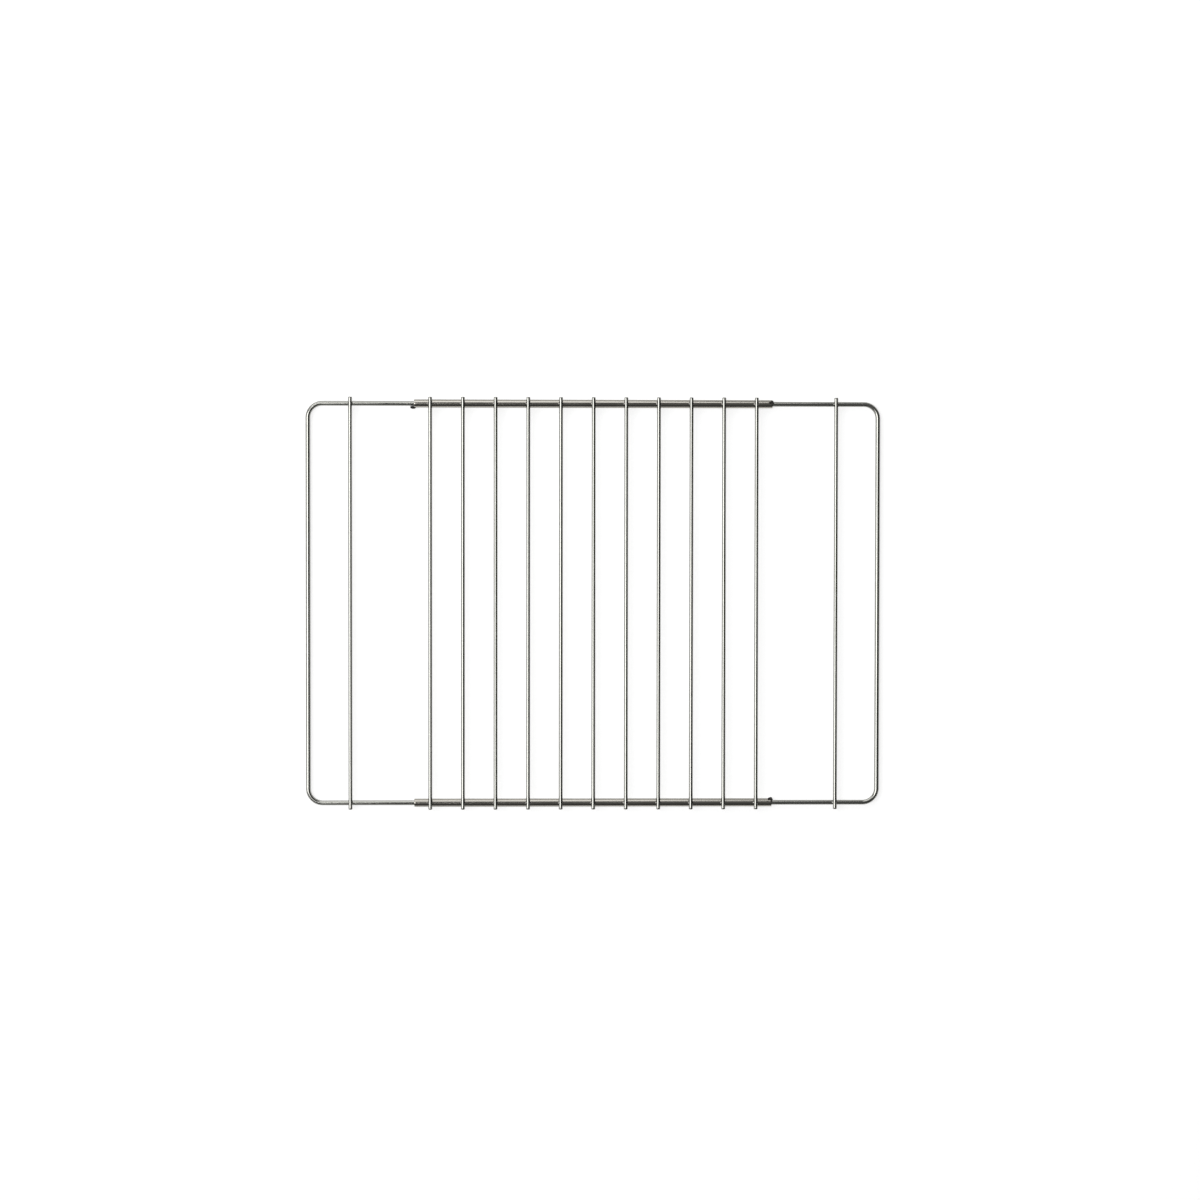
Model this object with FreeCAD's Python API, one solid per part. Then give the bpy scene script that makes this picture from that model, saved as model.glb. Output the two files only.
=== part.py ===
import FreeCAD, Part
import math
import os

# Extendable oven shelf, in millimetres. X runs along the two tubes, Y from front to rear, Z up.
# The origin lies on the surface that the shelf rests on, below the middle of the centre rack.

# Centre rack: two tubes with a ladder of wires welded across them
rack_depth = 320.0  # length of every cross wire
tube_length = 278.0
tube_wall = 0.7
cross_wire_diameter = 3.0
cross_wire_count = 11
cross_wire_margin = 12.5  # first and last wire to the tube mouths
cross_wire_overhang = 1.9  # wire ends past the outside of the tubes
weld_set_down = 0.3  # how deep a weld sinks a wire into what carries it

# End frames: one bent wire each, with one cross wire welded on its legs
frame_wire_diameter = 3.6
frame_corner_radius = 11.0  # on the centre line of the wire
end_wire_inset = 32.8  # end bar to end cross wire, between centres
pull_out = 82.2  # tube mouth to centre of end bar, as shown
grip_length = 33.0  # leg left in the tube at full reach

# Fits of the legs in the tubes
leg_clearance = 0.6  # leg to bore, all round
collar_length = 3.0
collar_clearance = 0.15  # collar to bore, all round
push_in_gap = 1.3  # end cross wire to tube mouth, pushed right in
leg_end_gap = 2.6  # leg end to the middle of the tube, pushed right in

# Stop beads: drops of weld over the rims of the tube mouths, which the leg collars can't pass
stop_length = 3.8
stop_height = 2.1
low_stop_height = 1.0  # the bead below a leg stays off the ground
stop_clearance = 0.2  # bead to leg
stop_gap = 0.5  # bead to collar at full reach
stop_tip_ratio = 0.5  # thickness of a tip to that of the bead
stop_over_rim = 1.0  # length outside the mouth of a bead that straddles the rim
stop_off_rim = 3.4  # length outside the mouth of a bead that hangs from the rim

# Where each bead sits round its mouth, in degrees from the rear, upwards
rear_left_stop_angle = 190.0
rear_right_stop_angle = 66.0
front_left_stop_angle = 270.0
front_right_stop_angle = 28.0

# Sizes that follow
leg_radius = frame_wire_diameter / 2
bore_radius = leg_radius + leg_clearance
tube_radius = bore_radius + tube_wall
cross_wire_radius = cross_wire_diameter / 2
collar_radius = bore_radius - collar_clearance
axis_height = tube_radius
tube_y = rack_depth / 2 - cross_wire_overhang - tube_radius
cross_wire_span = tube_length - 2 * cross_wire_margin
cross_wire_pitch = cross_wire_span / (cross_wire_count - 1)
cross_wire_height = axis_height + tube_radius + cross_wire_radius - weld_set_down
end_wire_height = axis_height + leg_radius + cross_wire_radius - weld_set_down

# Travel of an end frame, worked out from what stops it at each end
end_bar_x = tube_length / 2 + pull_out
pushed_in_pull_out = push_in_gap + cross_wire_radius + end_wire_inset
leg_length = tube_length / 2 + pushed_in_pull_out - leg_end_gap
push_in_travel = pull_out - pushed_in_pull_out
pull_out_travel = leg_length - grip_length - pull_out
stop_depth = stop_length - stop_over_rim
collar_from_leg_end = grip_length - stop_depth - stop_gap - collar_length / 2

ORIGIN = FreeCAD.Vector(0, 0, 0)
ALONG_X = FreeCAD.Vector(1, 0, 0)
ALONG_Y = FreeCAD.Vector(0, 1, 0)
ALONG_Z = FreeCAD.Vector(0, 0, 1)
LEFT = -1
RIGHT = 1
HALF_RIGHT_ANGLE = math.radians(45)


def line(start, end):
    return Part.LineSegment(FreeCAD.Vector(*start, 0), FreeCAD.Vector(*end, 0)).toShape()


def arc(start, middle, end):
    points = [FreeCAD.Vector(*point, 0) for point in (start, middle, end)]
    return Part.Arc(*points).toShape()


def turned(half_section):
    """Solid turned about X from the corners of its half section, each an x and a radius."""
    corners = [FreeCAD.Vector(x, radius, 0) for x, radius in half_section]
    outline = Part.makePolygon(corners + corners[:1])
    return Part.Face(outline).revolve(ORIGIN, ALONG_X, 360)


def one_solid(shape):
    (solid,) = shape.Solids
    return solid


def sliding_leg(length):
    """The straight part of a frame's leg along X, cut end first, with its upset collar."""
    return turned([
        (0, 0), (0, leg_radius),
        (collar_from_leg_end - collar_length / 2, leg_radius),
        (collar_from_leg_end, collar_radius),
        (collar_from_leg_end + collar_length / 2, leg_radius),
        (length, leg_radius), (length, 0),
    ])


def centred_tube(y):
    """A tube of the centre rack, cut square at both mouths."""
    mouth = tube_length / 2
    tube = turned([(-mouth, bore_radius), (mouth, bore_radius), (mouth, tube_radius), (-mouth, tube_radius)])
    tube.translate(FreeCAD.Vector(0, y, axis_height))
    return tube


def rod_along_x(radius, start_x, end_x, y):
    """A plain round bar at the height of the tubes, for cutting the seat of a weld."""
    start = FreeCAD.Vector(start_x, y, axis_height)
    return Part.makeCylinder(radius, end_x - start_x, start, ALONG_X)


def welded_cross_wire(x, height, carriers):
    """A cross wire from front to rear, set down into the two bars that carry it."""
    front_end = FreeCAD.Vector(x, -rack_depth / 2, height)
    wire = Part.makeCylinder(cross_wire_radius, rack_depth, front_end, ALONG_Y)
    return one_solid(wire.cut(carriers))


def end_frame(side):
    """One wire bent to a U: two straight legs, two round corners and the end bar."""
    bar_x = side * end_bar_x
    bend_x = bar_x - side * frame_corner_radius
    bar_end_y = tube_y - frame_corner_radius
    bend_middle_x = bend_x + side * frame_corner_radius * math.sin(HALF_RIGHT_ANGLE)
    bend_middle_y = bar_end_y + frame_corner_radius * math.cos(HALF_RIGHT_ANGLE)
    path = Part.Wire([
        arc((bend_x, tube_y), (bend_middle_x, bend_middle_y), (bar_x, bar_end_y)),
        line((bar_x, bar_end_y), (bar_x, -bar_end_y)),
        arc((bar_x, -bar_end_y), (bend_middle_x, -bend_middle_y), (bend_x, -tube_y)),
    ])
    section = Part.Wire(Part.makeCircle(leg_radius, FreeCAD.Vector(bend_x, tube_y, 0), ALONG_X))
    bow = path.makePipeShell([section], True, False)
    bow.translate(FreeCAD.Vector(0, 0, axis_height))
    legs = []
    for y in (tube_y, -tube_y):
        leg = sliding_leg(leg_length - frame_corner_radius)
        if side == LEFT:
            leg.rotate(ORIGIN, ALONG_Z, 180)
        leg.translate(FreeCAD.Vector(bar_x - side * leg_length, y, axis_height))
        legs.append(leg)
    return one_solid(bow.fuse(legs).removeSplitter())


def stop_bead(tube, y, side, angle, height, past_mouth):
    """A bead of weld on a mouth's rim, just clear of the leg, with past_mouth of it outside."""
    half_length = stop_length / 2
    radius = height / 2
    tip = radius * stop_tip_ratio
    bead = turned([
        (-half_length, 0), (-half_length, tip), (0, radius), (half_length, tip), (half_length, 0),
    ])
    off_axis = leg_radius + stop_clearance + radius
    turn = math.radians(angle)
    bead.translate(FreeCAD.Vector(
        side * (tube_length / 2 + past_mouth - half_length),
        y + off_axis * math.cos(turn),
        axis_height + off_axis * math.sin(turn),
    ))
    return one_solid(bead.cut(tube))


rear_tube = centred_tube(tube_y)
front_tube = centred_tube(-tube_y)
nodes = {"rear_tube": rear_tube, "front_tube": front_tube}

tube_rods = [rod_along_x(tube_radius, -tube_length / 2, tube_length / 2, y) for y in (tube_y, -tube_y)]
for index in range(cross_wire_count):
    wire_x = index * cross_wire_pitch - cross_wire_span / 2
    nodes[f"cross_wire_{index + 1:02d}"] = welded_cross_wire(wire_x, cross_wire_height, tube_rods)

for side, name in ((LEFT, "left"), (RIGHT, "right")):
    nodes[f"{name}_end_frame"] = end_frame(side)
    end_wire_x = side * (end_bar_x - end_wire_inset)
    leg_rods = [
        rod_along_x(leg_radius, end_wire_x - cross_wire_diameter, end_wire_x + cross_wire_diameter, y)
        for y in (tube_y, -tube_y)
    ]
    nodes[f"{name}_end_cross_wire"] = welded_cross_wire(end_wire_x, end_wire_height, leg_rods)

nodes["rear_left_stop"] = stop_bead(
    rear_tube, tube_y, LEFT, rear_left_stop_angle, stop_height, stop_off_rim)
nodes["rear_right_stop"] = stop_bead(
    rear_tube, tube_y, RIGHT, rear_right_stop_angle, stop_height, stop_over_rim)
nodes["front_left_stop"] = stop_bead(
    front_tube, -tube_y, LEFT, front_left_stop_angle, low_stop_height, stop_over_rim)
nodes["front_right_stop"] = stop_bead(
    front_tube, -tube_y, RIGHT, front_right_stop_angle, stop_height, stop_over_rim)

os.makedirs("parts", exist_ok=True)
for name, shape in nodes.items():
    shape.exportStep(f"parts/{name}.step")

print(f"each end frame pushes in {push_in_travel:.1f} and pulls out {pull_out_travel:.1f}")
print(f"shelf width {2 * (end_bar_x + leg_radius):.1f}, leg length {leg_length:.1f}")
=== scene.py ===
# %% [markdown]
# # An extendable oven shelf
# This lesson dresses a flat wire shelf whose two ends pull out of a middle ladder. The engineering model
# gives every piece its size and place. Here each piece is modelled again as a clean, smooth mesh with the
# small forms that a workshop leaves behind: rounded cuts, squeezed weld metal and lumpy stop drops.

# %% Load the frame and keep its box
import math
from collections import namedtuple

import bmesh
import bpy
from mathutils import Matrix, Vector


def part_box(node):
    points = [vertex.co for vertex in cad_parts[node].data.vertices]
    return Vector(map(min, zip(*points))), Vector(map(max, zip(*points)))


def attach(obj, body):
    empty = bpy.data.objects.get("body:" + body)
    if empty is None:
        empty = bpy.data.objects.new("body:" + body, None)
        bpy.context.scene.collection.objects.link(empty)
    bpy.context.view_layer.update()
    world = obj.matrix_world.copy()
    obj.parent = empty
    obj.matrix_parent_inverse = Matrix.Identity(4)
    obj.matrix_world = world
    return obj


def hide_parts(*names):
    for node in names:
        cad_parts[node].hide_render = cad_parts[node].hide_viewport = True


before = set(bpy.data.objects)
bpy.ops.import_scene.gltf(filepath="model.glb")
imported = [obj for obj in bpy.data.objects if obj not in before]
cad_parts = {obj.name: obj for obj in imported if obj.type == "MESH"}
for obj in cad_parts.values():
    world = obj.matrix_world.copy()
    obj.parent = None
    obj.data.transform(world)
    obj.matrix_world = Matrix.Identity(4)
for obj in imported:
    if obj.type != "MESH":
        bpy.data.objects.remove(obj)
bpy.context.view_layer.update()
bpy.ops.object.select_all(action="DESELECT")
MM = 0.001
print("nodes in the frame:", len(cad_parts))

# %% [markdown]
# ## Sizes taken from the frame
# The tubes, wires and frames already stand in the engineering model, so their boxes give nearly every size.
# Only what a box can't show, such as the bend radius or the wall of a tube, is given here.

# %% Measure the tubes and the wires
tube_low, tube_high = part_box("rear_tube")
mouth_x = tube_high.x
rail_y = (tube_low.y + tube_high.y) / 2
rail_height = (tube_low.z + tube_high.z) / 2
tube_radius = (tube_high.y - tube_low.y) / 2
tube_wall = 0.7 * MM

wire_low, wire_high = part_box("cross_wire_01")
wire_radius = (wire_high.z - wire_low.z) / 2
wire_length = wire_high.y - wire_low.y
print(f"tube radius {tube_radius / MM:.2f}, wire radius {wire_radius / MM:.2f}")
print(f"wire length {wire_length / MM:.0f}")

# %% Measure the end frames
frame_low, frame_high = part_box("right_end_frame")
leg_radius = 1.8 * MM
bend_radius = 11.0 * MM
leg_end_x = frame_low.x
end_bar_x = frame_high.x - leg_radius
collar_radius = rail_height - frame_low.z
collar_half_length = 1.5 * MM
collar_from_leg_end = 28.2 * MM
print(f"legs run from {leg_end_x / MM:.1f} to the end bar at {end_bar_x / MM:.1f}")
print(f"collar radius {collar_radius / MM:.2f}")

# %% [markdown]
# ## Picking by place
# By hand you would click on an edge. A script has to say where the edge is instead. This helper deselects
# everything in edit mode and then selects the edges that pass a test, such as one on where their middle lies.


# %% A helper that selects edges
def middle(edge):
    return (edge.verts[0].co + edge.verts[1].co) / 2


def pick_edges(test):
    bpy.ops.mesh.select_mode(type="EDGE")
    bpy.ops.mesh.select_all(action="DESELECT")
    edited = bpy.context.edit_object.data
    mesh = bmesh.from_edit_mesh(edited)
    picked = [edge for edge in mesh.edges if test(edge)]
    for edge in picked:
        edge.select_set(True)
    bmesh.update_edit_mesh(edited)
    return len(picked)


TOUCH = 0.01 * MM
RIGHT_ANGLE = math.radians(90)
print("edges within", TOUCH / MM, "mm of a place count as being there")

# %% [markdown]
# ## One cross wire
# A cross wire is cut from a coil of drawn steel, tumbled and plated, so its ends are slightly rounded. A
# long cylinder with bevelled rims is enough, because the wire is straight from end to end.


# %% Model a plain wire
WIRE_SIDES = 40
end_rounding = 0.6 * MM
ROUNDING_STEPS = 4


def plain_wire(x, height):
    bpy.ops.mesh.primitive_cylinder_add(
        vertices=WIRE_SIDES, radius=wire_radius, depth=wire_length,
        location=(x, 0, height), rotation=(RIGHT_ANGLE, 0, 0))
    wire = bpy.context.object
    bpy.ops.object.transform_apply(location=True, rotation=True, scale=True)
    bpy.ops.object.mode_set(mode="EDIT")
    end_y = wire_length / 2 - TOUCH
    rims = pick_edges(lambda edge: abs(middle(edge).y) > end_y)
    bpy.ops.mesh.bevel(offset=end_rounding, segments=ROUNDING_STEPS, affect="EDGES")
    bpy.ops.object.mode_set(mode="OBJECT")
    print("rounded", rims, "rim edges of a wire")
    return wire


# %% [markdown]
# ## The squeezed metal of a weld
# The wires are resistance-welded: two electrodes press the hot wire a little into the tube, and some metal
# is squeezed out on both sides of it. A flattened ball, sunk into the tube and cut off flat inside the
# tube's wall, gives that low swelling. Metal that ran is never even, so a cloudy Displace roughens it. A
# Boolean modifier then makes it one skin with the wire. Smooth shading spreads along a long face, so loops
# are cut either side of each weld, and the straight between them stays straight to the eye.


# %% Helpers that apply a modifier
sliver_width = 0.002 * MM


def shape_with(piece, kind, **settings):
    bpy.ops.object.select_all(action="DESELECT")
    bpy.context.view_layer.objects.active = piece
    piece.select_set(True)
    bpy.ops.object.modifier_add(type=kind)
    modifier = piece.modifiers[-1]
    for name, value in settings.items():
        setattr(modifier, name, value)
    bpy.ops.object.modifier_apply(modifier=modifier.name)


def combine(piece, tool, operation):
    shape_with(piece, "BOOLEAN", operation=operation, object=tool)
    bpy.data.objects.remove(tool)
    bpy.ops.object.mode_set(mode="EDIT")
    bpy.ops.mesh.select_all(action="SELECT")
    bpy.ops.mesh.dissolve_degenerate(threshold=sliver_width)
    bpy.ops.object.mode_set(mode="OBJECT")


lump_size = 1.1 * MM
weld_lumps = bpy.data.textures.new("weld lumps", "CLOUDS")
weld_lumps.noise_scale = lump_size


def roughen(piece, height):
    shape_with(piece, "DISPLACE", texture=weld_lumps, texture_coords="LOCAL", strength=height)


# %% Model one swelling
FLASH_SEGMENTS = 36
FLASH_RINGS = 24
flash_height = 0.85 * MM
flash_sink = 0.35 * MM
flash_below_middle = 0.22 * MM
flash_unevenness = 0.3 * MM


def weld_flash(x, y, carrier_top, half_width, half_depth):
    height = carrier_top - flash_sink
    bpy.ops.mesh.primitive_uv_sphere_add(
        segments=FLASH_SEGMENTS, ring_count=FLASH_RINGS, radius=1, location=(x, y, height),
        scale=(half_width, half_depth, flash_height))
    flash = bpy.context.object
    bpy.ops.object.transform_apply(location=True, rotation=True, scale=True)
    bpy.ops.object.mode_set(mode="EDIT")
    bpy.ops.mesh.select_all(action="SELECT")
    bpy.ops.mesh.bisect(
        plane_co=(x, y, height - flash_below_middle), plane_no=(0, 0, 1), use_fill=True, clear_inner=True)
    bpy.ops.object.mode_set(mode="OBJECT")
    roughen(flash, flash_unevenness)
    return flash


# %% Join the swellings to the wire
SMOOTH_BELOW = math.radians(35)
weld_surroundings = 3.5 * MM


def cut_loops(places):
    bpy.ops.object.mode_set(mode="EDIT")
    for y in places:
        bpy.ops.mesh.select_all(action="SELECT")
        bpy.ops.mesh.bisect(plane_co=(0, y, 0), plane_no=(0, 1, 0))
    bpy.ops.object.mode_set(mode="OBJECT")


def welded_wire(x, height, carrier_radius, flash_half_width, flash_half_depth):
    wire = plain_wire(x, height)
    for y in (rail_y, -rail_y):
        carrier_top = rail_height + carrier_radius
        flash = weld_flash(x, y, carrier_top, flash_half_width, flash_half_depth)
        combine(wire, flash, "UNION")
        cut_loops((y - weld_surroundings, y + weld_surroundings))
    bpy.ops.object.shade_smooth_by_angle(angle=SMOOTH_BELOW)
    print("wire with two welds:", len(wire.data.polygons), "faces")
    return wire


# %% [markdown]
# ## Putting a piece in its node's place
# Every finished piece rides on one body of the frame, stands for its engineering node and names the finish
# that it takes. One helper says all three. A second one copies a finished mesh to another place.

# %% Helpers that seat and copy a piece
pieces = {}


def seat(piece, name, node, body, slot):
    piece.name = name
    piece.data.name = name
    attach(piece, body)
    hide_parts(node)
    pieces.setdefault(slot, []).append(piece)


def copy_of(piece, shift):
    bpy.ops.object.select_all(action="DESELECT")
    bpy.context.view_layer.objects.active = piece
    piece.select_set(True)
    bpy.ops.object.duplicate(linked=False)
    bpy.ops.transform.translate(value=shift)
    bpy.ops.object.transform_apply(location=True, rotation=True, scale=True)
    return bpy.context.object


# %% [markdown]
# ## The ladder of eleven wires
# The welding machine makes every crossing alike, so one wire is modelled and copied along the tubes. Each
# copy has a mesh of its own and takes its place from its node's box.

# %% Model the first wire and copy it
flash_half_width = 2.4 * MM
tube_flash_half_depth = 1.25 * MM
wire_height = (wire_low.z + wire_high.z) / 2
ladder_nodes = sorted(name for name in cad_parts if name.startswith("cross_wire_"))


def middle_x(node):
    low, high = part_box(node)
    return (low.x + high.x) / 2


first_x = middle_x(ladder_nodes[0])
first_wire = welded_wire(first_x, wire_height, tube_radius, flash_half_width, tube_flash_half_depth)
ladder = [first_wire]
for node in ladder_nodes[1:]:
    ladder.append(copy_of(first_wire, (middle_x(node) - first_x, 0, 0)))
for node, wire in zip(ladder_nodes, ladder):
    seat(wire, node + "_drawn", node, "centre_rack", "plated_wire")
print("ladder wires:", len(ladder))

# %% [markdown]
# ## The two end cross wires
# The same wire is welded across the legs of each end frame. It sits lower, because a leg is thinner than a
# tube, and its weld is narrower from front to rear.

# %% Model the left one and copy it
leg_flash_half_depth = 1.05 * MM
end_low, end_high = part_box("left_end_cross_wire")
end_wire_x = middle_x("right_end_cross_wire")
left_end_wire = welded_wire(
    -end_wire_x, (end_low.z + end_high.z) / 2, leg_radius, flash_half_width, leg_flash_half_depth)
right_end_wire = copy_of(left_end_wire, (2 * end_wire_x, 0, 0))
seat(left_end_wire, "left_end_cross_wire_drawn", "left_end_cross_wire", "left_end", "plated_wire")
seat(right_end_wire, "right_end_cross_wire_drawn", "right_end_cross_wire", "right_end", "plated_wire")
print(f"end cross wires at {end_wire_x / MM:.1f} either side")

# %% [markdown]
# ## The two tubes
# The rails of the ladder are thin-walled tubes, open at both mouths so that the legs can slide in. A ring
# of edges is drawn out along the rail, Solidify gives it the wall inwards, and a small bevel takes the
# saw's sharpness off the rims. A straight run is drawn in three steps, short, long and short, so that the
# shading of a rim or a bend ends in a short step.

# %% A helper that draws out a ring of edges
short_step = 1.0 * MM


def draw_out(run):
    bpy.ops.mesh.extrude_region_move(TRANSFORM_OT_translate={"value": run})


def draw_straight(x=0.0, y=0.0):
    run = Vector((x, y, 0))
    for step in (short_step, run.length - 2 * short_step, short_step):
        draw_out(run.normalized() * step)


# %% Draw out a tube
TUBE_SIDES = 72
rim_rounding = 0.16 * MM
RIM_STEPS = 2


def is_rim(edge):
    at_mouth = abs(middle(edge).x) > mouth_x - TOUCH
    first, second = (math.hypot(end.co.y - rail_y, end.co.z - rail_height) for end in edge.verts)
    return at_mouth and abs(first - second) < TOUCH


bpy.ops.mesh.primitive_circle_add(
    vertices=TUBE_SIDES, radius=tube_radius,
    location=(-mouth_x, rail_y, rail_height), rotation=(0, RIGHT_ANGLE, 0))
rear_tube = bpy.context.object
bpy.ops.object.transform_apply(location=True, rotation=True, scale=True)
bpy.ops.object.mode_set(mode="EDIT")
bpy.ops.mesh.select_all(action="SELECT")
draw_straight(x=2 * mouth_x)
bpy.ops.mesh.select_all(action="SELECT")
bpy.ops.mesh.normals_make_consistent(inside=False)
bpy.ops.object.mode_set(mode="OBJECT")
print("tube skin:", len(rear_tube.data.polygons), "faces")

# %% Give the tube its wall and soften the rims
INWARDS = -1
shape_with(rear_tube, "SOLIDIFY", thickness=tube_wall, offset=INWARDS)
bpy.ops.object.mode_set(mode="EDIT")
rim_edges = pick_edges(is_rim)
bpy.ops.mesh.bevel(offset=rim_rounding, segments=RIM_STEPS, affect="EDGES")
bpy.ops.object.mode_set(mode="OBJECT")
bpy.ops.object.shade_smooth_by_angle(angle=SMOOTH_BELOW)
front_tube = copy_of(rear_tube, (0, -2 * rail_y, 0))
seat(rear_tube, "rear_tube_plated", "rear_tube", "centre_rack", "plated_tube")
seat(front_tube, "front_tube_plated", "front_tube", "centre_rack", "plated_tube")
print("softened", rim_edges, "rim edges on the tube")

# %% [markdown]
# ## The end frames
# Each end frame is one wire, bent cold round a peg at its two corners. Before bending, a collar is upset on
# each leg, which the stop drops catch. The script works like the bender: it draws a ring of edges out along
# a leg, swells it at the collar, spins it a quarter turn round each corner and ends in the second leg.

# %% Bending helpers
BEND_STEPS = 16
# Each ring of a collar: its travel in half collar lengths, and its share of the whole swelling.
COLLAR_RINGS = ((0.5, 0.7), (1.0, 1.0), (1.5, 0.7), (2.0, 0.0))


def ring_middle_and_radius():
    mesh = bmesh.from_edit_mesh(bpy.context.edit_object.data)
    corners = [corner.co for corner in mesh.verts if corner.select]
    ring_middle = sum(corners, Vector()) / len(corners)
    return ring_middle, (corners[0] - ring_middle).length


def upset_collar(heading):
    travelled = 0.0
    for travel, swell in COLLAR_RINGS:
        draw_out((heading * (travel - travelled) * collar_half_length, 0, 0))
        travelled = travel
        ring_middle, radius = ring_middle_and_radius()
        grow = (leg_radius + swell * (collar_radius - leg_radius)) / radius
        bpy.ops.transform.resize(value=(1, grow, grow), center_override=ring_middle)


def quarter_bend(centre_y):
    centre = (end_bar_x - bend_radius, centre_y, rail_height)
    bpy.ops.mesh.spin(steps=BEND_STEPS, angle=RIGHT_ANGLE, center=centre, axis=(0, 0, 1))


# %% Bend the right frame
leg_to_collar = collar_from_leg_end - collar_half_length
collar_to_bend = end_bar_x - bend_radius - leg_end_x - collar_from_leg_end - collar_half_length
corner_y = rail_y - bend_radius

bpy.ops.mesh.primitive_circle_add(
    vertices=WIRE_SIDES, radius=leg_radius,
    location=(leg_end_x, rail_y, rail_height), rotation=(0, RIGHT_ANGLE, 0))
right_frame = bpy.context.object
bpy.ops.object.transform_apply(location=True, rotation=True, scale=True)
bpy.ops.object.mode_set(mode="EDIT")
bpy.ops.mesh.select_mode(type="VERT")
bpy.ops.mesh.select_all(action="SELECT")
draw_straight(x=leg_to_collar)
upset_collar(1)
draw_straight(x=collar_to_bend)
quarter_bend(corner_y)
draw_straight(y=-2 * corner_y)
quarter_bend(-corner_y)
draw_straight(x=-collar_to_bend)
upset_collar(-1)
draw_straight(x=-leg_to_collar)
cut_end, cut_radius = ring_middle_and_radius()
print(f"bent wire ends at {cut_end.x / MM:.2f}, {cut_end.y / MM:.2f} with radius {cut_radius / MM:.2f}")

# %% Close and round the cut ends, then copy the frame
bpy.ops.mesh.select_all(action="SELECT")
bpy.ops.mesh.remove_doubles(threshold=TOUCH)
cut_x = leg_end_x + TOUCH
for side in (1, -1):
    pick_edges(lambda edge: middle(edge).x < cut_x and middle(edge).y * side > 0)
    bpy.ops.mesh.edge_face_add()
bpy.ops.mesh.select_all(action="SELECT")
bpy.ops.mesh.normals_make_consistent(inside=False)
cut_edges = pick_edges(lambda edge: middle(edge).x < cut_x)
bpy.ops.mesh.bevel(offset=end_rounding, segments=ROUNDING_STEPS, affect="EDGES")
bpy.ops.object.mode_set(mode="OBJECT")
bpy.ops.object.shade_smooth_by_angle(angle=SMOOTH_BELOW)
left_frame = copy_of(right_frame, (0, 0, 0))
bpy.ops.transform.rotate(value=2 * RIGHT_ANGLE, orient_axis="Z", center_override=(0, 0, 0))
bpy.ops.object.transform_apply(location=True, rotation=True, scale=True)
seat(right_frame, "right_end_frame_bent", "right_end_frame", "right_end", "frame_wire")
seat(left_frame, "left_end_frame_bent", "left_end_frame", "left_end", "frame_wire")
print("frame:", len(right_frame.data.polygons), "faces,", cut_edges, "cut edges rounded")

# %% [markdown]
# ## The stop drops
# A welder leaves one drop of metal on the rim of each tube mouth, and the leg's collar can't pass it. Molten
# metal runs in a thick string, so a drop starts as a run of balls that overlap, from its start over its
# middle to its end. Remesh gives them one skin, Smooth lets them flow together and a cloudy Displace makes
# them uneven. Last, a rod a little wider than the leg is cut out of the drop, so that the leg slides past it.

# %% Where each drop starts, turns and ends
# Lengths are in millimetres, and angles in degrees from the rear, upwards.
Ball = namedtuple("Ball", "past_mouth angle off_axis radius")
DROPS = {
    "rear_left": (Ball(2.0, 184, 2.9, 1.1), Ball(0.9, 184, 3.0, 1.25), Ball(-0.2, 184, 2.9, 1.15)),
    "rear_right": (Ball(-1.9, 68, 3.2, 1.0), Ball(-0.4, 59, 3.25, 1.1), Ball(-0.1, 82, 3.15, 1.1)),
    "front_left": (Ball(-2.2, 270, 2.5, 0.42), Ball(-1.0, 270, 2.5, 0.46), Ball(0.4, 270, 2.5, 0.42)),
    "front_right": (Ball(-2.0, 30, 3.25, 1.0), Ball(-0.5, 20, 3.4, 1.1), Ball(-0.1, 42, 3.2, 1.1)),
}
BALLS_PER_STRETCH = 4


def string_of(turns):
    string = [turns[0]]
    for first, second in zip(turns, turns[1:]):
        for step in range(1, BALLS_PER_STRETCH + 1):
            share = step / BALLS_PER_STRETCH
            string.append(Ball(*(a + (b - a) * share for a, b in zip(first, second))))
    return string


print("balls in a drop:", len(string_of(DROPS["rear_left"])))

# %% Pour a drop
BALL_DETAIL = 3
skin_size = 0.14 * MM
FLOW_ROUNDS = 10
lump_height = 0.3 * MM


def pour_ball(ball, side, rail):
    turn = math.radians(ball.angle)
    x = side * (mouth_x + ball.past_mouth * MM)
    y = rail + ball.off_axis * MM * math.cos(turn)
    z = rail_height + ball.off_axis * MM * math.sin(turn)
    bpy.ops.mesh.primitive_ico_sphere_add(
        subdivisions=BALL_DETAIL, radius=ball.radius * MM, location=(x, y, z))
    return bpy.context.object


def weld_drop(balls, side, rail):
    poured = [pour_ball(ball, side, rail) for ball in balls]
    for ball in poured:
        ball.select_set(True)
    bpy.ops.object.join()
    drop = bpy.context.object
    bpy.ops.object.transform_apply(location=True, rotation=True, scale=True)
    shape_with(drop, "REMESH", mode="VOXEL", voxel_size=skin_size)
    shape_with(drop, "SMOOTH", iterations=FLOW_ROUNDS)
    roughen(drop, lump_height)
    return drop


# %% Clear the legs and seat the drops
drop_clearance = 0.2 * MM
rod_length = 4 * mouth_x


def clear_leg(drop, rail):
    bpy.ops.mesh.primitive_cylinder_add(
        vertices=WIRE_SIDES, radius=leg_radius + drop_clearance, depth=rod_length,
        location=(0, rail, rail_height), rotation=(0, RIGHT_ANGLE, 0))
    combine(drop, bpy.context.object, "DIFFERENCE")


for name, turns in DROPS.items():
    side = -1 if name.endswith("left") else 1
    rail = rail_y if name.startswith("rear") else -rail_y
    drop = weld_drop(string_of(turns), side, rail)
    clear_leg(drop, rail)
    bpy.ops.object.shade_smooth_by_angle(angle=SMOOTH_BELOW)
    node = name + "_stop"
    seat(drop, node + "_drop", node, "centre_rack", "weld_bead")
    print(name, "drop:", len(drop.data.polygons), "faces")

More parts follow.
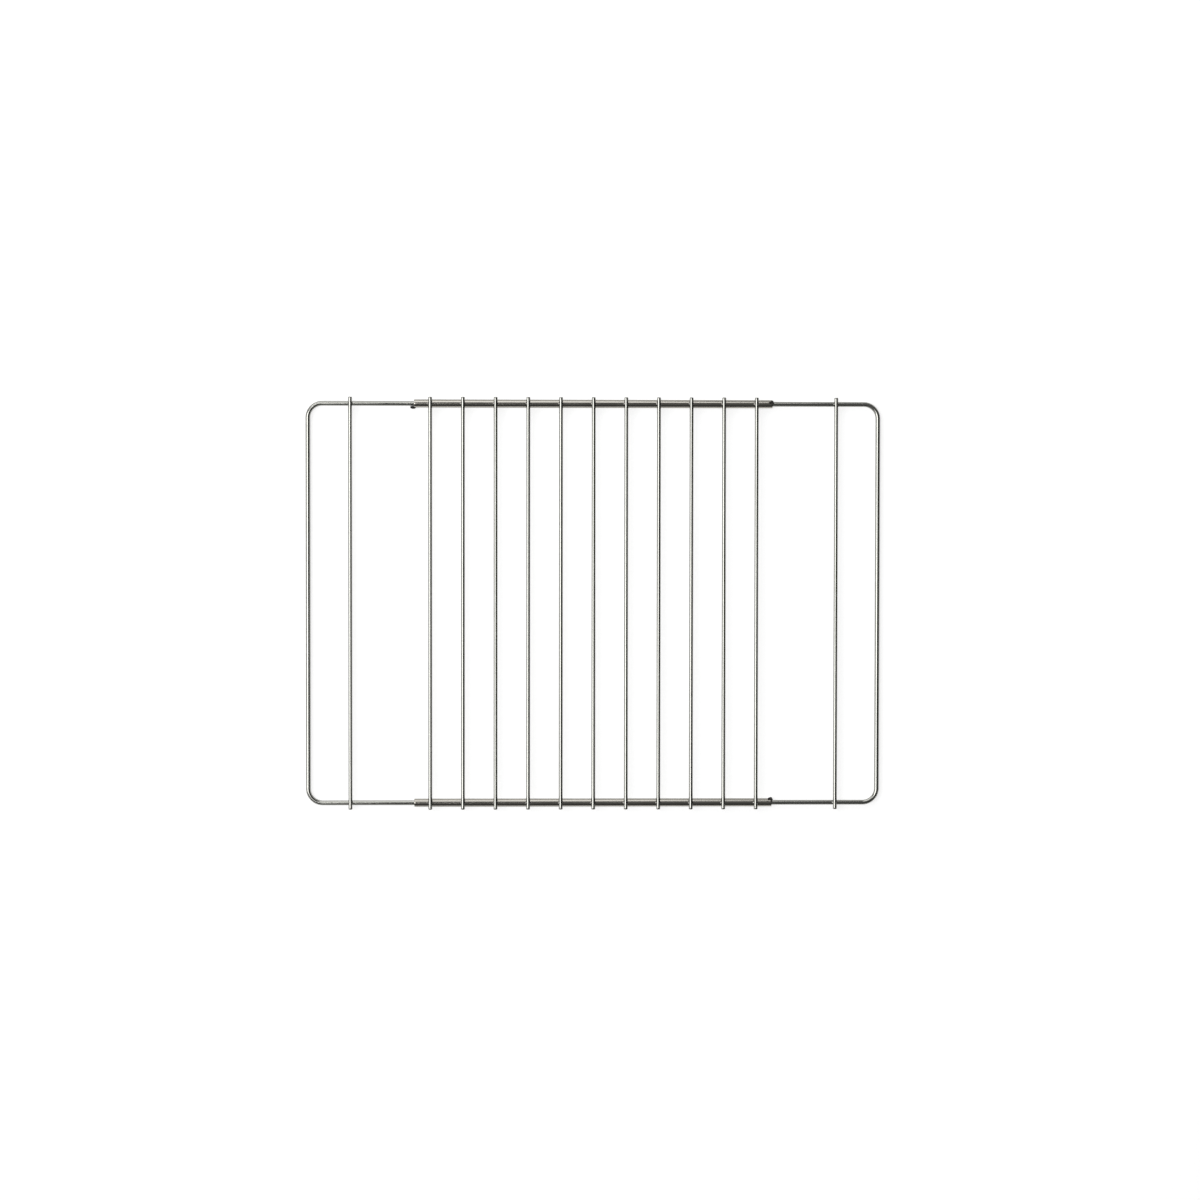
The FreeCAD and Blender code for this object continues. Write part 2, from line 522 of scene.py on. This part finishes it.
# %% [markdown]
# ## Effects that several finishes share
# Drawn wire keeps fine lines from the die along its length, plating settles in faint clouds, and a weld
# leaves a dull mark where the metal was hot. Each effect is a small node group, so that every finish can set
# it in its own way.


# %% Helpers for node trees
def add_node(tree, kind, **settings):
    node = tree.nodes.new(kind)
    for name, value in settings.items():
        setattr(node, name, value)
    return node


def start_group(name, inputs, outputs):
    group = bpy.data.node_groups.new(name, "ShaderNodeTree")
    for socket, kind in inputs.items():
        group.interface.new_socket(socket, in_out="INPUT", socket_type="NodeSocket" + kind)
    for socket, kind in outputs.items():
        group.interface.new_socket(socket, in_out="OUTPUT", socket_type="NodeSocket" + kind)
    return group, add_node(group, "NodeGroupInput"), add_node(group, "NodeGroupOutput")


# %% Die lines along a drawn wire
UNSCALED = 1.0
LINE_DETAIL = 1.0
die_lines, given, result = start_group(
    "die lines", {"Place": "Vector", "Lines per metre": "Vector"}, {"Lines": "Float"})
stretched = add_node(die_lines, "ShaderNodeVectorMath", operation="MULTIPLY")
noise = add_node(die_lines, "ShaderNodeTexNoise")
noise.inputs["Scale"].default_value = UNSCALED
noise.inputs["Detail"].default_value = LINE_DETAIL
die_lines.links.new(given.outputs["Place"], stretched.inputs[0])
die_lines.links.new(given.outputs["Lines per metre"], stretched.inputs[1])
die_lines.links.new(stretched.outputs["Vector"], noise.inputs["Vector"])
die_lines.links.new(noise.outputs["Fac"], result.inputs["Lines"])
print("group:", die_lines.name)

# %% Faint clouds in the plating
CLOUD_DETAIL = 2.0
plating_cloud, given, result = start_group(
    "plating cloud", {"Place": "Vector", "Clouds per metre": "Float"}, {"Cloud": "Float"})
noise = add_node(plating_cloud, "ShaderNodeTexNoise")
noise.inputs["Detail"].default_value = CLOUD_DETAIL
plating_cloud.links.new(given.outputs["Place"], noise.inputs["Vector"])
plating_cloud.links.new(given.outputs["Clouds per metre"], noise.inputs["Scale"])
plating_cloud.links.new(noise.outputs["Fac"], result.inputs["Cloud"])
print("group:", plating_cloud.name)

# %% The dull mark round a weld
# The speckle adds about a half, so a mark is whole to a tenth of its reach and gone at its full reach.
SPECKLES_PER_METRE = 900.0
FADES_FROM = 0.6
GONE_AT = 1.5
WHOLE_MARK = 1.0
NO_MARK = 0.0
weld_mark, given, result = start_group(
    "weld mark", {"From weld": "Vector", "Reach": "Float"}, {"Heat": "Float"})
distance = add_node(weld_mark, "ShaderNodeVectorMath", operation="LENGTH")
share = add_node(weld_mark, "ShaderNodeMath", operation="DIVIDE")
speckle = add_node(weld_mark, "ShaderNodeTexNoise")
speckle.inputs["Scale"].default_value = SPECKLES_PER_METRE
ragged = add_node(weld_mark, "ShaderNodeMath", operation="ADD")
fade = add_node(weld_mark, "ShaderNodeMapRange", interpolation_type="SMOOTHSTEP")
fade.inputs["From Min"].default_value = FADES_FROM
fade.inputs["From Max"].default_value = GONE_AT
fade.inputs["To Min"].default_value = WHOLE_MARK
fade.inputs["To Max"].default_value = NO_MARK
weld_mark.links.new(given.outputs["From weld"], distance.inputs[0])
weld_mark.links.new(distance.outputs["Value"], share.inputs[0])
weld_mark.links.new(given.outputs["Reach"], share.inputs[1])
weld_mark.links.new(given.outputs["From weld"], speckle.inputs["Vector"])
weld_mark.links.new(share.outputs["Value"], ragged.inputs[0])
weld_mark.links.new(speckle.outputs["Fac"], ragged.inputs[1])
weld_mark.links.new(ragged.outputs["Value"], fade.inputs["Value"])
weld_mark.links.new(fade.outputs["Result"], result.inputs["Heat"])
print("group:", weld_mark.name)

# %% [markdown]
# ## The bright plating
# All wires and tubes are plated steel: a smooth, slightly grey metal that mirrors the studio. The recipe is
# the same for each. What changes is its tint, as the tubes came out a little warmer than the wires, the run
# of the die lines and where the welds are. Those last two go in as ready-made sockets.

# %% The recipe for plated steel
Plating = namedtuple("Plating", "bright dull")
WIRE_PLATING = Plating(bright=(0.446, 0.446, 0.418, 1), dull=(0.386, 0.386, 0.358, 1))
TUBE_PLATING = Plating(bright=(0.458, 0.44, 0.4, 1), dull=(0.398, 0.382, 0.345, 1))
WELD_GREY = (0.48, 0.466, 0.437, 1)
GRAZING_TINT = (0.05, 0.05, 0.05, 1)
ALL_METAL = 1.0
SMOOTHEST = 0.06
ROUGHEST = 0.36
CLOUDS_PER_METRE = 45.0
DIE_LINE_STRENGTH = 0.06
die_line_depth = 0.004 * MM


def group_node(tree, group):
    return add_node(tree, "ShaderNodeGroup", node_tree=group)


def mixed(tree, factor, first, second):
    mix = add_node(tree, "ShaderNodeMix", data_type="RGBA")
    for socket, value in (("A", first), ("B", second)):
        target = next(s for s in mix.inputs if s.name == socket and s.type == "RGBA")
        if isinstance(value, tuple):
            target.default_value = value
        else:
            tree.links.new(value, target)
    tree.links.new(factor, mix.inputs["Factor"])
    return next(s for s in mix.outputs if s.type == "RGBA")


def start_material(name):
    material = bpy.data.materials.new(name)
    material.use_nodes = True
    tree = material.node_tree
    shader = tree.nodes["Principled BSDF"]
    place = add_node(tree, "ShaderNodeTexCoord").outputs["Object"]
    return material, tree, shader, place


def plate(tree, shader, place, plating, lines, from_weld, weld_reach):
    cloud = group_node(tree, plating_cloud)
    cloud.inputs["Clouds per metre"].default_value = CLOUDS_PER_METRE
    tree.links.new(place, cloud.inputs["Place"])
    mark = group_node(tree, weld_mark)
    mark.inputs["Reach"].default_value = weld_reach
    tree.links.new(from_weld, mark.inputs["From weld"])
    plain = mixed(tree, cloud.outputs["Cloud"], plating.dull, plating.bright)
    tree.links.new(mixed(tree, mark.outputs["Heat"], plain, WELD_GREY), shader.inputs["Base Color"])
    unevenness = add_node(tree, "ShaderNodeMath", operation="MULTIPLY")
    tree.links.new(cloud.outputs["Cloud"], unevenness.inputs[0])
    tree.links.new(lines, unevenness.inputs[1])
    dullness = add_node(tree, "ShaderNodeMath", operation="MAXIMUM")
    tree.links.new(unevenness.outputs["Value"], dullness.inputs[0])
    tree.links.new(mark.outputs["Heat"], dullness.inputs[1])
    roughness = add_node(tree, "ShaderNodeMapRange")
    roughness.inputs["To Min"].default_value = SMOOTHEST
    roughness.inputs["To Max"].default_value = ROUGHEST
    tree.links.new(dullness.outputs["Value"], roughness.inputs["Value"])
    tree.links.new(roughness.outputs["Result"], shader.inputs["Roughness"])
    bump = add_node(tree, "ShaderNodeBump")
    bump.inputs["Strength"].default_value = DIE_LINE_STRENGTH
    bump.inputs["Distance"].default_value = die_line_depth
    tree.links.new(lines, bump.inputs["Height"])
    tree.links.new(bump.outputs["Normal"], shader.inputs["Normal"])
    shader.inputs["Metallic"].default_value = ALL_METAL
    shader.inputs["Specular Tint"].default_value = GRAZING_TINT


# %% Sockets for lines and weld distances
ALONG = 10.0
ACROSS = 5000.0
LINES_ALONG_X = (ALONG, ACROSS, ACROSS)
LINES_ALONG_Y = (ACROSS, ALONG, ACROSS)
ON_ALL_AXES = (1, 1, 1)
ON_Y_AND_Z = (0, 1, 1)


def run_of_lines(tree, place, lines_per_metre):
    node = group_node(tree, die_lines)
    node.inputs["Lines per metre"].default_value = lines_per_metre
    tree.links.new(place, node.inputs["Place"])
    return node.outputs["Lines"]


def offset_from(tree, place, weld_place, measured):
    """The way from the nearest weld on the measured axes. All four quarters of the shelf count as one."""
    folded = add_node(tree, "ShaderNodeVectorMath", operation="ABSOLUTE")
    tree.links.new(place, folded.inputs[0])
    away = add_node(tree, "ShaderNodeVectorMath", operation="SUBTRACT")
    away.inputs[1].default_value = weld_place
    tree.links.new(folded.outputs["Vector"], away.inputs[0])
    kept = add_node(tree, "ShaderNodeVectorMath", operation="MULTIPLY")
    kept.inputs[1].default_value = measured
    tree.links.new(away.outputs["Vector"], kept.inputs[0])
    return kept.outputs["Vector"]


# %% [markdown]
# ## The plating on each kind of piece
# A cross wire has its die lines along Y and its welds at the two rails. Along a tube the welds stand at even
# steps, so the place along it is folded into half a step, and one weld mark serves all eleven. On an end
# frame the lines follow the bend: they run along the legs and turn to run along the end bar.

# %% The cross wires
wire_mark_reach = 1.6 * MM
wire_finish, tree, shader, place = start_material("plated drawn wire")
weld_height = rail_height + tube_radius
plate(tree, shader, place, WIRE_PLATING,
      run_of_lines(tree, place, LINES_ALONG_Y),
      offset_from(tree, place, (0, rail_y, weld_height), ON_Y_AND_Z),
      wire_mark_reach)
print("finish:", wire_finish.name)

# %% The tubes
tube_mark_reach = 2.6 * MM
tube_finish, tree, shader, place = start_material("plated tube")
pitch = middle_x(ladder_nodes[1]) - first_x
apart = add_node(tree, "ShaderNodeSeparateXYZ")
tree.links.new(place, apart.inputs["Vector"])
along = add_node(tree, "ShaderNodeMath", operation="PINGPONG")
along.inputs[1].default_value = pitch / 2
tree.links.new(apart.outputs["X"], along.inputs[0])
together = add_node(tree, "ShaderNodeCombineXYZ")
tree.links.new(along.outputs["Value"], together.inputs["X"])
tree.links.new(apart.outputs["Y"], together.inputs["Y"])
tree.links.new(apart.outputs["Z"], together.inputs["Z"])
plate(tree, shader, place, TUBE_PLATING,
      run_of_lines(tree, place, LINES_ALONG_X),
      offset_from(tree, together.outputs["Vector"], (0, rail_y, weld_height), ON_ALL_AXES),
      tube_mark_reach)
print("finish:", tube_finish.name, "with welds every", round(pitch / MM, 1), "mm")

# %% The end frames
frame_mark_reach = 2.2 * MM
frame_finish, tree, shader, place = start_material("plated bent wire")
leg_lines = run_of_lines(tree, place, LINES_ALONG_X)
bar_lines = run_of_lines(tree, place, LINES_ALONG_Y)
apart = add_node(tree, "ShaderNodeSeparateXYZ")
tree.links.new(place, apart.inputs["Vector"])
sideways = add_node(tree, "ShaderNodeMath", operation="ABSOLUTE")
tree.links.new(apart.outputs["X"], sideways.inputs[0])
on_bar = add_node(tree, "ShaderNodeMapRange", interpolation_type="SMOOTHSTEP")
on_bar.inputs["From Min"].default_value = end_bar_x - bend_radius
on_bar.inputs["From Max"].default_value = end_bar_x - leg_radius
tree.links.new(sideways.outputs["Value"], on_bar.inputs["Value"])
lines = add_node(tree, "ShaderNodeMix", data_type="FLOAT")
tree.links.new(on_bar.outputs["Result"], lines.inputs["Factor"])
tree.links.new(leg_lines, lines.inputs["A"])
tree.links.new(bar_lines, lines.inputs["B"])
plate(tree, shader, place, WIRE_PLATING, lines.outputs["Result"],
      offset_from(tree, place, (end_wire_x, rail_y, rail_height + leg_radius), ON_ALL_AXES),
      frame_mark_reach)
print("finish:", frame_finish.name)

# %% [markdown]
# ## The burnt weld drops
# The drops were laid after plating, so they are bare, burnt and nearly black, with a little gloss where the
# metal ran smooth. Rough, greyer patches of scale stand up a little, so one cloud drives their colour, their
# roughness and their height.

# %% The drops
SCALE_BLACK = (0.018, 0.016, 0.015, 1)
SCALE_GREY = (0.1, 0.095, 0.09, 1)
PATCHES_PER_METRE = 900.0
GREY_FROM = 0.5
ALL_GREY_AT = 0.75
SCALE_SMOOTHEST = 0.3
SCALE_ROUGHEST = 0.6
SCALE_METAL = 0.3
SCALE_SHINE = 0.25
SCALE_BUMP_STRENGTH = 0.6
scale_bump_depth = 0.08 * MM
drop_finish, tree, shader, place = start_material("burnt weld metal")
cloud = group_node(tree, plating_cloud)
cloud.inputs["Clouds per metre"].default_value = PATCHES_PER_METRE
tree.links.new(place, cloud.inputs["Place"])
patches = add_node(tree, "ShaderNodeMapRange", interpolation_type="SMOOTHSTEP")
patches.inputs["From Min"].default_value = GREY_FROM
patches.inputs["From Max"].default_value = ALL_GREY_AT
tree.links.new(cloud.outputs["Cloud"], patches.inputs["Value"])
tree.links.new(mixed(tree, patches.outputs["Result"], SCALE_BLACK, SCALE_GREY), shader.inputs["Base Color"])
roughness = add_node(tree, "ShaderNodeMapRange")
roughness.inputs["To Min"].default_value = SCALE_SMOOTHEST
roughness.inputs["To Max"].default_value = SCALE_ROUGHEST
tree.links.new(cloud.outputs["Cloud"], roughness.inputs["Value"])
tree.links.new(roughness.outputs["Result"], shader.inputs["Roughness"])
bump = add_node(tree, "ShaderNodeBump")
bump.inputs["Strength"].default_value = SCALE_BUMP_STRENGTH
bump.inputs["Distance"].default_value = scale_bump_depth
tree.links.new(cloud.outputs["Cloud"], bump.inputs["Height"])
tree.links.new(bump.outputs["Normal"], shader.inputs["Normal"])
shader.inputs["Metallic"].default_value = SCALE_METAL
shader.inputs["Specular IOR Level"].default_value = SCALE_SHINE
print("finish:", drop_finish.name)

# %% [markdown]
# ## Handing out the finishes
# Wires, tubes, frames and drops each take the finish of their slot. The list of materials on a mesh is
# emptied first, so that this finish is the only one on it.

# %% Give every piece its finish
finishes = {
    "plated_wire": wire_finish,
    "plated_tube": tube_finish,
    "frame_wire": frame_finish,
    "weld_bead": drop_finish,
}
for slot, made in pieces.items():
    for piece in made:
        piece.data.materials.clear()
        piece.data.materials.append(finishes[slot])
print("finished pieces:", {slot: len(made) for slot, made in pieces.items()})

# %% [markdown]
# ## The floor
# The shelf lies on a wide white sheet. It is a plain matt surface that keeps the soft shadows. For the
# camera, and for rays that a piece mirrors or lets through, it also glows, so that open floor comes out
# white without more lamps.

# %% Lay the floor
FLOOR_WHITE = (0.52, 0.52, 0.52, 1)
FLOOR_GLOW = 0.745
floor_radius = 9.0
floor_drop = 0.05 * MM
FLOOR_SIDES = 96

bpy.ops.object.select_all(action="DESELECT")
bpy.ops.mesh.primitive_circle_add(
    vertices=FLOOR_SIDES, radius=floor_radius, fill_type="NGON", location=(0, 0, -floor_drop))
floor = bpy.context.object
floor.name = "floor"
floor_finish = bpy.data.materials.new("white sheet")
floor_finish.use_nodes = True
tree = floor_finish.node_tree
tree.nodes.clear()
matt = add_node(tree, "ShaderNodeBsdfDiffuse")
matt.inputs["Color"].default_value = FLOOR_WHITE
glow = add_node(tree, "ShaderNodeEmission")
ray = add_node(tree, "ShaderNodeLightPath")
seen = add_node(tree, "ShaderNodeMath", operation="MAXIMUM")
mirrored = add_node(tree, "ShaderNodeMath", operation="MAXIMUM")
strength = add_node(tree, "ShaderNodeMath", operation="MULTIPLY")
strength.inputs[1].default_value = FLOOR_GLOW
both = add_node(tree, "ShaderNodeAddShader")
output = add_node(tree, "ShaderNodeOutputMaterial")
tree.links.new(ray.outputs["Is Glossy Ray"], mirrored.inputs[0])
tree.links.new(ray.outputs["Is Transmission Ray"], mirrored.inputs[1])
tree.links.new(ray.outputs["Is Camera Ray"], seen.inputs[0])
tree.links.new(mirrored.outputs["Value"], seen.inputs[1])
tree.links.new(seen.outputs["Value"], strength.inputs[0])
tree.links.new(strength.outputs["Value"], glow.inputs["Strength"])
tree.links.new(matt.outputs["BSDF"], both.inputs[0])
tree.links.new(glow.outputs["Emission"], both.inputs[1])
tree.links.new(both.outputs["Shader"], output.inputs["Surface"])
floor.data.materials.append(floor_finish)
print("floor radius", floor_radius, "metres")

# %% [markdown]
# ## The light
# The mirror-like wires only show what stands round them. Two large soft boxes, one on the left and one
# behind, draw the pale lines along the wires and the tubes. The rest of the studio fades from grey at the
# rear left to dark at the front right, which gives the wires their dark edges.

# %% Hang the soft boxes
LAMPS = {
    "left soft box": {"place": (-1.275, 0.0, 2.1), "size": (1.3, 2.14), "watts": 27.5},
    "rear soft box": {"place": (-0.80, 2.15, 1.45), "size": (2.4, 2.0), "watts": 24.0},
}
for name, lamp in LAMPS.items():
    bpy.ops.object.light_add(type="AREA", location=lamp["place"])
    box = bpy.context.object
    box.name = name
    box.rotation_euler = Vector(lamp["place"]).to_track_quat("Z", "Y").to_euler()
    box.data.shape = "RECTANGLE"
    box.data.size, box.data.size_y = lamp["size"]
    box.data.energy = lamp["watts"]
    print(name, "at", lamp["place"])

# %% Shade the studio round them
WHITE = (1, 1, 1, 1)
STUDIO_DARK = 0.02
STUDIO_PALE = 0.3
BRIGHT_SIDE = Vector((-0.85, 0.53, 0.0))
FACING_AWAY = -1.0
FACING_IT = 1.0

world = bpy.data.worlds.new("studio")
bpy.context.scene.world = world
world.use_nodes = True
tree = world.node_tree
background = tree.nodes["Background"]
direction = add_node(tree, "ShaderNodeTexCoord")
towards = add_node(tree, "ShaderNodeVectorMath", operation="DOT_PRODUCT")
towards.inputs[1].default_value = BRIGHT_SIDE
level = add_node(tree, "ShaderNodeMapRange", interpolation_type="SMOOTHSTEP")
level.inputs["From Min"].default_value = FACING_AWAY
level.inputs["From Max"].default_value = FACING_IT
level.inputs["To Min"].default_value = STUDIO_DARK
level.inputs["To Max"].default_value = STUDIO_PALE
tree.links.new(direction.outputs["Generated"], towards.inputs[0])
tree.links.new(towards.outputs["Value"], level.inputs["Value"])
tree.links.new(level.outputs["Result"], background.inputs["Strength"])
background.inputs["Color"].default_value = WHITE
print("studio from", STUDIO_DARK, "to", STUDIO_PALE)

# %% [markdown]
# ## The camera
# The photograph looks down on the shelf from a good two metres, a little from the left and the rear, which
# is why the wires spread slightly towards the top. A long lens from that far off keeps the spread small.

# %% Set up the camera
CAMERA_PLACE = (-0.0517, 0.0647, 2.204)
CAMERA_TURN = (-1.613, -1.478, 0.075)  # degrees about X, Y and Z
LENS = 85.0

bpy.ops.object.camera_add(location=CAMERA_PLACE, rotation=[math.radians(turn) for turn in CAMERA_TURN])
camera = bpy.context.object
camera.data.lens = LENS
bpy.context.scene.camera = camera
bpy.context.scene.view_settings.view_transform = "Standard"
print("camera", round(camera.location.z, 2), "metres up")
